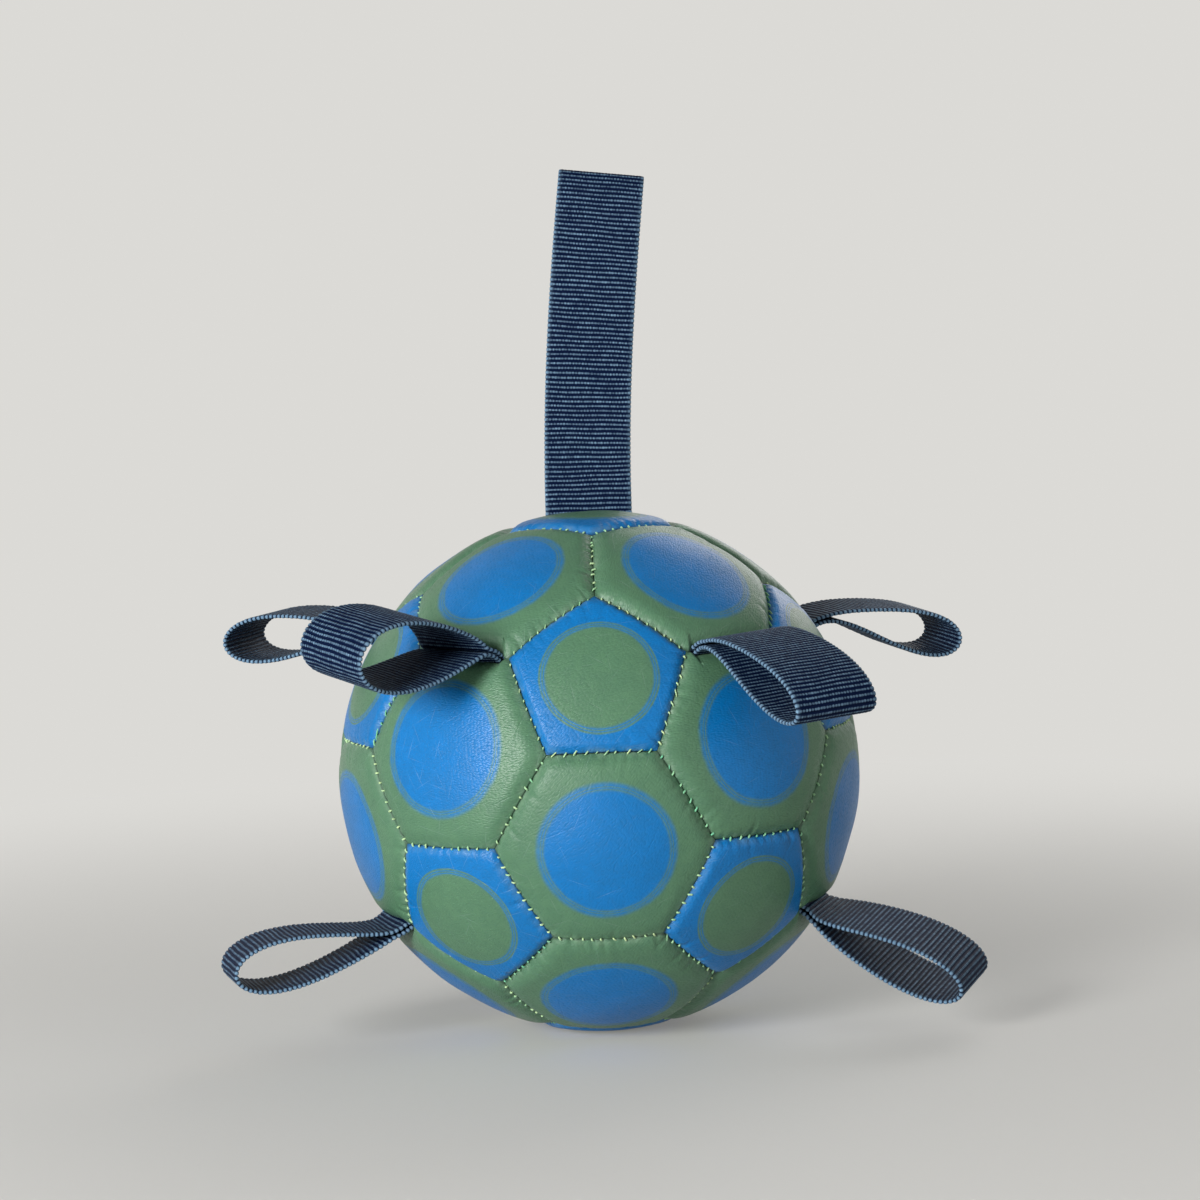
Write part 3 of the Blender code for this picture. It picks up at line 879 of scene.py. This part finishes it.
def attribute(tree, name):
    """A vector that each vertex of the piece carries."""
    return add(tree, "ShaderNodeAttribute", attribute_name=name).outputs["Vector"]


def linear(tint):
    """An sRGB colour as linear light, with alpha."""
    tint = np.array(tint)
    light = np.where(tint <= 0.04045, tint / 12.92, ((tint + 0.055) / 1.055) ** 2.4)
    return (*light.tolist(), 1.0)


def new_material(name, **values):
    """A material whose Principled shader has these constant values."""
    material = bpy.data.materials.new(name)
    material.use_nodes = True
    tree = material.node_tree
    shader = tree.nodes["Principled BSDF"]
    for key, value in values.items():
        shader.inputs[key.replace("_", " ")].default_value = value
    return material, tree, shader


def new_group(name, inputs, outputs):
    """A new shader node group with float sockets, and the sockets inside it."""
    tree = bpy.data.node_groups.new(name, "ShaderNodeTree")
    for socket, default in inputs.items():
        made = tree.interface.new_socket(socket, in_out="INPUT", socket_type="NodeSocketFloat")
        made.default_value = default
    for socket in outputs:
        tree.interface.new_socket(socket, in_out="OUTPUT", socket_type="NodeSocketFloat")
    return tree, add(tree, "NodeGroupInput").outputs, add(tree, "NodeGroupOutput").inputs


def use_group(tree, maker, **inputs):
    """A shared group, built the first time that it is asked for."""
    name = maker.__name__.replace("_", " ").capitalize()
    group = bpy.data.node_groups.get(name) or maker(name)
    node = add(tree, "ShaderNodeGroup", node_tree=group)
    for key, value in inputs.items():
        node.inputs[key.replace("_", " ")].default_value = value
    return node.outputs


# Shared effects


def leather_grain(name):
    """Fine embossed pebbles that lie in slanted rows, and the flecks between them."""
    tree, given, out = new_group(name, {"Cell size": 0.0004}, ["Height", "Fleck"])
    place = attribute(tree, "grain_place")
    longer = stretch(tree, place, (0.42, 1, 1))
    scale = maths(tree, "DIVIDE", 1.0, given["Cell size"])
    cells = add(tree, "ShaderNodeTexVoronoi", {"Vector": longer, "Scale": scale, "Randomness": 0.75})
    domed = maths(tree, "POWER", cells.outputs["Distance"], 2.0)
    tree.links.new(maths(tree, "SUBTRACT", 1.0, domed), out["Height"])
    tree.links.new(ramp(tree, cells.outputs["Distance"], 0.45, 0.8), out["Fleck"])
    return tree


def fine_scratches(name):
    """Short straight hairlines that lie in a few directions, or creases where they are drawn larger."""
    tree, given, out = new_group(name, {"Size": 0.1, "Larger": 1.0}, ["Mask"])
    place = attribute(tree, "grain_place")
    shrink = maths(tree, "DIVIDE", 1.0, given["Larger"])
    place = add(tree, "ShaderNodeVectorMath", {0: place, "Scale": shrink}, operation="SCALE").outputs[0]
    total = 0.0
    for turn in (0.35, 1.2, 2.0, 2.75):
        inputs = {"Vector": place, "Rotation": (0, 0, turn), "Scale": (0.035, 0.0010, 0.008)}
        drawn = add(tree, "ShaderNodeMapping", inputs, vector_type="TEXTURE").outputs[0]
        away = add(tree, "ShaderNodeTexVoronoi", {"Vector": drawn, "Scale": 1.0}).outputs["Distance"]
        total = maths(tree, "MAXIMUM", total, ramp(tree, away, 0.0, given["Size"], 1.0, 0.0))
    tree.links.new(total, out["Mask"])
    return tree


def printed_disc(name):
    """A printed disc with a soft rim, which two thin bare lines run round."""
    sockets = {"Disc": 0.0168, "Rim": 0.0184, "Rim softness": 0.0007, "Rim strength": 0.6}
    sockets.update({"Line": 0.0002, "Line gap": 0.0007, "Line strength": 0.7})
    tree, given, out = new_group(name, sockets, ["Mask"])
    place = attribute(tree, "panel_place")
    away = distance(tree, stretch(tree, place, (1, 1, 0)))
    wobble = maths(tree, "MULTIPLY_ADD", noise(tree, object_place(tree), 70.0, 5.0), 0.0009, -0.00045)
    away = maths(tree, "ADD", away, wobble)

    def inside(radius, softness):
        low = maths(tree, "SUBTRACT", radius, softness)
        return ramp(tree, away, low, maths(tree, "ADD", radius, softness), 1.0, 0.0)

    def line(radius):
        off = maths(tree, "ABSOLUTE", maths(tree, "SUBTRACT", away, radius))
        return ramp(tree, off, maths(tree, "MULTIPLY", given["Line"], 0.4), given["Line"], 1.0, 0.0)

    patchy = ramp(tree, noise(tree, object_place(tree), 330.0, 5.0), 0.3, 0.65, 0.6, 1.0)
    rim = maths(tree, "MULTIPLY", inside(given["Rim"], given["Rim softness"]), given["Rim strength"])
    ink = maths(tree, "MAXIMUM", inside(given["Disc"], 0.0006), maths(tree, "MULTIPLY", rim, patchy))
    first = maths(tree, "ADD", given["Disc"], given["Line"])
    lines = maths(tree, "MAXIMUM", line(first), line(maths(tree, "ADD", first, given["Line gap"])))
    bare = maths(tree, "MULTIPLY", maths(tree, "MULTIPLY", lines, given["Line strength"]), patchy)
    tree.links.new(maths(tree, "MULTIPLY", ink, maths(tree, "SUBTRACT", 1.0, bare)), out["Mask"])
    return tree


def seam_wear(name):
    """Painted highlight in patches on the shoulders beside the seams, and dirt with painted shade down in
    them.
    """
    tree, given, out = new_group(name, {"Width": 0.0022}, ["Rubbed", "Dirt"])
    near = add(tree, "ShaderNodeSeparateXYZ", {0: attribute(tree, "panel_place")}).outputs["Z"]
    patches = noise(tree, object_place(tree), 210.0, 4.0)
    # Painted highlight in patches along each seam's shoulder
    band = ramp(tree, near, 0.0003, given["Width"], 1.0, 0.0)
    tree.links.new(maths(tree, "MULTIPLY", band, ramp(tree, patches, 0.38, 0.68)), out["Rubbed"])
    # Dirt with painted shade down in the seam
    deep = ramp(tree, near, 0.0, 0.0006, 1.0, 0.0)
    tree.links.new(maths(tree, "MULTIPLY", deep, ramp(tree, patches, 0.3, 0.6, 0.6, 1.0)), out["Dirt"])
    return tree


def rubber_bloom(name):
    """Cloudy bloom on rubber, and its fine unevenness."""
    tree, _, out = new_group(name, {}, ["Bloom", "Height"])
    place = object_place(tree)
    tree.links.new(ramp(tree, noise(tree, place, 120.0, 4.0), 0.35, 0.7), out["Bloom"])
    tree.links.new(noise(tree, place, 1500.0, 2.0), out["Height"])
    return tree


# Materials


PRINTS = {
    "hexagon": {"Rim": 0.0188, "Rim_softness": 0.0008, "Rim_strength": 0.88, "Line_strength": 0.7},
    "pentagon": {"Rim": 0.0163, "Rim_softness": 0.0002, "Rim_strength": 0.9, "Line_strength": 0.9},
}


# Linear colours that a material fades towards
CLOUD = (0.01, 0.04, 0.03, 1)
MOTTLE = (0.01, 0.05, 0.06, 1)
FLECK = (0.02, 0.05, 0.05, 1)
SCRATCH = (0.55, 0.68, 0.75, 1)
# Painted highlight along the seam shoulders
PAINTED_SHOULDER_HIGHLIGHT = (0.52, 0.64, 0.5, 1)
# Dirt with painted shade down in the seams
DIRT_AND_PAINTED_SHADE = (0.012, 0.02, 0.02, 1)
MINT = (0.16, 0.58, 0.33, 1)
FUZZ = (0.22, 0.27, 0.18, 1)
FLOOR_CLOUD = (0.6, 0.6, 0.58, 1)


def cover_material(kind):
    """Printed, pebbled cover material: one colour with a disc of the other."""
    covers = bpy.context.scene.football_covers
    ground, ink, disc = covers.green, covers.blue, covers.hexagon_disc
    if kind == "pentagon":
        ground, ink, disc = covers.blue, covers.green, covers.pentagon_disc
    material, tree, shader = new_material(f"{kind}_cover", Specular_IOR_Level=0.34)
    place = object_place(tree)
    printed = use_group(tree, printed_disc, Disc=disc, **PRINTS[kind])["Mask"]
    tone = mix(tree, printed, linear(ground), linear(ink))
    clouds = ramp(tree, noise(tree, place, 45.0, 4.0), 0.3, 0.7)
    tone = fade(tree, tone, clouds, 0.10, CLOUD)
    mottle = ramp(tree, noise(tree, place, 320.0, 3.0), 0.35, 0.65, 0.0, 0.09)
    tone = mix(tree, mottle, tone, MOTTLE)
    grain = use_group(tree, leather_grain, Cell_size=0.00042)
    tone = fade(tree, tone, grain["Fleck"], 0.10, FLECK)
    scratches = use_group(tree, fine_scratches, Size=0.14)["Mask"]
    tone = fade(tree, tone, scratches, 0.10, SCRATCH)
    # Painted highlight along the seam shoulders, and dirt with painted shade down in the seams
    seam_light_and_dirt = use_group(tree, seam_wear, Width=0.0024)
    tone = fade(tree, tone, seam_light_and_dirt["Rubbed"], 0.14, PAINTED_SHOULDER_HIGHLIGHT)
    tone = fade(tree, tone, seam_light_and_dirt["Dirt"], 0.5, DIRT_AND_PAINTED_SHADE)
    tree.links.new(tone, shader.inputs["Base Color"])

    rough = maths(tree, "MULTIPLY_ADD", clouds, 0.08, 0.34)
    rough = maths(tree, "MULTIPLY_ADD", grain["Fleck"], 0.14, rough)
    tree.links.new(rough, shader.inputs["Roughness"])
    creases = use_group(tree, fine_scratches, Size=0.12, Larger=3.0)["Mask"]
    scored = maths(tree, "MULTIPLY_ADD", scratches, -0.4, grain["Height"])
    scored = maths(tree, "MULTIPLY_ADD", creases, -0.5, scored)
    bump = add(tree, "ShaderNodeBump", {"Strength": 0.75, "Distance": 0.00015, "Height": scored})
    tree.links.new(bump.outputs[0], shader.inputs["Normal"])
    return material


def thread_material():
    """Pale twisted thread, no two stitches quite alike."""
    tint = bpy.context.scene.football_stitches.tint
    material, tree, shader = new_material("pale_thread", Roughness=0.62, Sheen_Weight=0.2)
    shade = add(tree, "ShaderNodeSeparateXYZ", {0: attribute(tree, "tint")}).outputs["X"]
    tone = mix(tree, shade, linear(tint), MINT)
    fuzz = noise(tree, object_place(tree), 2600.0, 2.0)
    tone = mix(tree, ramp(tree, fuzz, 0.35, 0.7, 0.0, 0.25), tone, FUZZ)
    tree.links.new(tone, shader.inputs["Base Color"])
    bump = add(tree, "ShaderNodeBump", {"Strength": 0.5, "Distance": 0.00008, "Height": fuzz})
    tree.links.new(bump.outputs[0], shader.inputs["Normal"])
    return material


def webbing_material():
    """Ribbed navy webbing with dark grooves, and a painted steel-blue highlight over ribs and selvedges."""
    settings = bpy.context.scene.football_webbing
    material, tree, shader = new_material("ribbed_webbing", Specular_IOR_Level=0.06)
    place = attribute(tree, "strip")
    strip = add(tree, "ShaderNodeSeparateXYZ", {0: place}).outputs
    fibres = noise(tree, stretch(tree, place, (900, 5200, 0)), 1.0, 2.0)
    streak = ramp(tree, noise(tree, stretch(tree, place, (800, 120, 0)), 1.0, 4.0), 0.3, 0.7, 0.6, 1.0)
    # Painted highlight along the rib crests, broken by streaks and fibres
    painted_rib_highlight = maths(tree, "MULTIPLY", ramp(tree, strip["Z"], 0.74, 0.99), streak)
    painted_rib_highlight = maths(tree, "MULTIPLY", painted_rib_highlight, ramp(tree, fibres, 0.3, 0.65, 0.4, 1.0))
    # Painted highlight on the rounded selvedges as well
    half, selvedge = settings.width / 2, 0.0016
    edge = ramp(tree, maths(tree, "ABSOLUTE", strip["Y"]), half - selvedge, half)
    painted_edge_highlight = maths(tree, "MULTIPLY", edge, ramp(tree, strip["Z"], 0.5, 1.0, 0.05, 0.7))
    painted_rib_highlight = maths(tree, "MAXIMUM", painted_rib_highlight, painted_edge_highlight)
    tone = mix(tree, painted_rib_highlight, linear(settings.navy), linear(settings.crest))
    tree.links.new(tone, shader.inputs["Base Color"])
    tree.links.new(ramp(tree, fibres, 0.2, 0.8, 0.45, 0.65), shader.inputs["Roughness"])
    bump = add(tree, "ShaderNodeBump", {"Strength": 0.6, "Distance": 0.00012, "Height": fibres})
    tree.links.new(bump.outputs[0], shader.inputs["Normal"])
    return material


def rubber_material(name, tint, bloom):
    """Dark rubber with a paler bloom in clouds."""
    material, tree, shader = new_material(name)
    cloud = use_group(tree, rubber_bloom)
    tone = fade(tree, linear(tint), cloud["Bloom"], 0.4, linear(bloom))
    tree.links.new(tone, shader.inputs["Base Color"])
    tree.links.new(ramp(tree, cloud["Bloom"], 0.0, 1.0, 0.5, 0.68), shader.inputs["Roughness"])
    bump = add(tree, "ShaderNodeBump", {"Strength": 0.2, "Distance": 0.0001, "Height": cloud["Height"]})
    tree.links.new(bump.outputs[0], shader.inputs["Normal"])
    return material


class FOOTBALL_OT_rubber(bpy.types.Operator):
    """Give the bladder and the valve their rubber"""

    bl_idname = "football.rubber"
    bl_label = "Bladder and valve"

    def execute(self, context):
        bladder = rubber_material("bladder_rubber", (0.13, 0.13, 0.135), (0.3, 0.3, 0.3))
        valve = rubber_material("valve_rubber", (0.2, 0.205, 0.21), (0.36, 0.36, 0.35))
        for node, material in (("bladder", bladder), ("valve_stem", valve), ("valve_core", valve)):
            slots = frame["nodes"][node].data.materials
            slots.clear()
            slots.append(material)
        return {"FINISHED"}


# Stage


# Each light's place and diameter
LIGHTS = {
    "key": ((-0.80, -1.06, 0.40), 0.5),
    "fill": ((1.1, -0.9, 0.5), 0.9),
    "back": ((0.6, 1.2, 0.8), 1.0),
}


def make_floor():
    """A wide floor that curves up into a wall all round, so that every view has one plain background."""
    floor_radius, bend, wall, sides = 2.2, 0.8, 2.0, 96
    arc = np.linspace(0, math.pi / 2, 11)
    profile = [(0.02, 0.0), (0.5, 0.0), (1.4, 0.0)]
    profile += [(floor_radius + bend * math.sin(a), bend * (1 - math.cos(a))) for a in arc]
    profile.append((floor_radius + bend, bend + wall))
    turn = 2 * math.pi * np.arange(sides) / sides
    circle = np.stack((np.cos(turn), np.sin(turn), np.zeros(sides)), axis=1)
    rings = [circle * radius + (0, 0, height) for radius, height in profile]
    faces = []
    for ring in range(len(rings) - 1):
        faces += ring_faces((ring + 1) * sides, ring * sides, sides)
    faces.append(list(range(sides)))
    return mesh_object("studio_floor", np.concatenate(rings), faces)


def floor_material():
    """Pale and matt near the ball, fading to an even pale tone far from it."""
    tint = linear(bpy.context.scene.football_stage.floor)
    material, tree, shader = new_material("studio_floor", Roughness=0.75, Specular_IOR_Level=0.2)
    soft = ramp(tree, noise(tree, object_place(tree), 1.6, 2.0), 0.3, 0.7, 0.0, 0.05)
    tree.links.new(mix(tree, soft, tint, FLOOR_CLOUD), shader.inputs["Base Color"])
    away = distance(tree, object_place(tree))
    rays = add(tree, "ShaderNodeLightPath").outputs
    seen = maths(tree, "MAXIMUM", rays["Is Camera Ray"], rays["Is Glossy Ray"])
    seen = maths(tree, "MAXIMUM", seen, rays["Is Transmission Ray"])
    far = maths(tree, "MULTIPLY", seen, ramp(tree, away, 0.1, 0.65, 0.25, 1.0))
    plain = add(tree, "ShaderNodeEmission", {"Color": tint, "Strength": 1.0}).outputs[0]
    both = add(tree, "ShaderNodeMixShader", {0: far, 1: shader.outputs[0], 2: plain}).outputs[0]
    tree.links.new(both, tree.nodes["Material Output"].inputs["Surface"])
    return material


def add_light(name, place, watts, size):
    """A soft round light that shines on the ball."""
    data = bpy.data.lights.new(name, "AREA")
    data.shape = "DISK"
    data.energy = watts
    data.size = size
    light = bpy.data.objects.new(name, data)
    aim = Vector(MIDDLE) - Vector(place)
    light.matrix_world = Matrix.Translation(place) @ aim.to_track_quat("-Z", "Y").to_matrix().to_4x4()
    light.visible_camera = False
    bpy.context.scene.collection.objects.link(light)


def add_camera(lens):
    """The camera at the photograph's place and angle."""
    data = bpy.data.cameras.new("photo_view")
    data.lens = lens
    data.sensor_width = 36
    data.clip_start = 0.01
    data.clip_end = 50
    camera = bpy.data.objects.new("photo_view", data)
    turns = (("Z", -CAMERA_YAW), ("X", 90 + CAMERA_PITCH), ("Z", CAMERA_ROLL))
    camera.matrix_world = Matrix.Translation(CAMERA_PLACE)
    for axis, degrees in turns:
        camera.matrix_world = camera.matrix_world @ Matrix.Rotation(math.radians(degrees), 4, axis)
    bpy.context.scene.collection.objects.link(camera)
    bpy.context.scene.camera = camera


class FOOTBALL_OT_stage(bpy.types.Operator):
    """Set the pale floor, the soft lights and the camera"""

    bl_idname = "football.stage"
    bl_label = "Stage"

    def execute(self, context):
        scene = context.scene
        settings = scene.football_stage
        floor = make_floor()
        floor.data.materials.append(floor_material())
        for name, (place, size) in LIGHTS.items():
            add_light(f"{name}_light", place, getattr(settings, name), size)
        world = bpy.data.worlds.new("studio_air")
        world.use_nodes = True
        background = world.node_tree.nodes["Background"]
        background.inputs["Color"].default_value = (1, 1, 1, 1)
        background.inputs["Strength"].default_value = settings.ambient
        scene.world = world
        scene.view_settings.view_transform = "Standard"
        add_camera(settings.lens)
        return {"FINISHED"}


# Add-on


class FOOTBALL_PT_looks(bpy.types.Panel):
    """Lists the settings and the steps that dress the ball"""

    bl_idname = "FOOTBALL_PT_looks"
    bl_label = "Toy Football"
    bl_space_type = "VIEW_3D"
    bl_region_type = "UI"
    bl_category = "Toy Football"

    def draw(self, context):
        for key, (group, operator) in STEPS.items():
            box = self.layout.box()
            if group is not None:
                for name in group.__annotations__:
                    box.prop(getattr(context.scene, f"football_{key}"), name)
            box.operator(operator.bl_idname)


STEPS = {
    "stage": (StageSettings, FOOTBALL_OT_stage),
    "covers": (CoverSettings, FOOTBALL_OT_covers),
    "stitches": (StitchSettings, FOOTBALL_OT_stitches),
    "webbing": (WebbingSettings, FOOTBALL_OT_webbing),
    "rubber": (None, FOOTBALL_OT_rubber),
}


def register():
    for key, (group, operator) in STEPS.items():
        bpy.utils.register_class(operator)
        if group is not None:
            bpy.utils.register_class(group)
            setattr(bpy.types.Scene, f"football_{key}", PointerProperty(type=group))
    bpy.utils.register_class(FOOTBALL_PT_looks)


def unregister():
    bpy.utils.unregister_class(FOOTBALL_PT_looks)
    for key, (group, operator) in reversed(STEPS.items()):
        if group is not None:
            delattr(bpy.types.Scene, f"football_{key}")
            bpy.utils.unregister_class(group)
        bpy.utils.unregister_class(operator)


def main():
    register()
    bpy.ops.football.stage()
    bpy.ops.football.covers()
    bpy.ops.football.stitches()
    bpy.ops.football.webbing()
    bpy.ops.football.rubber()


if __name__ == "__main__":
    main()
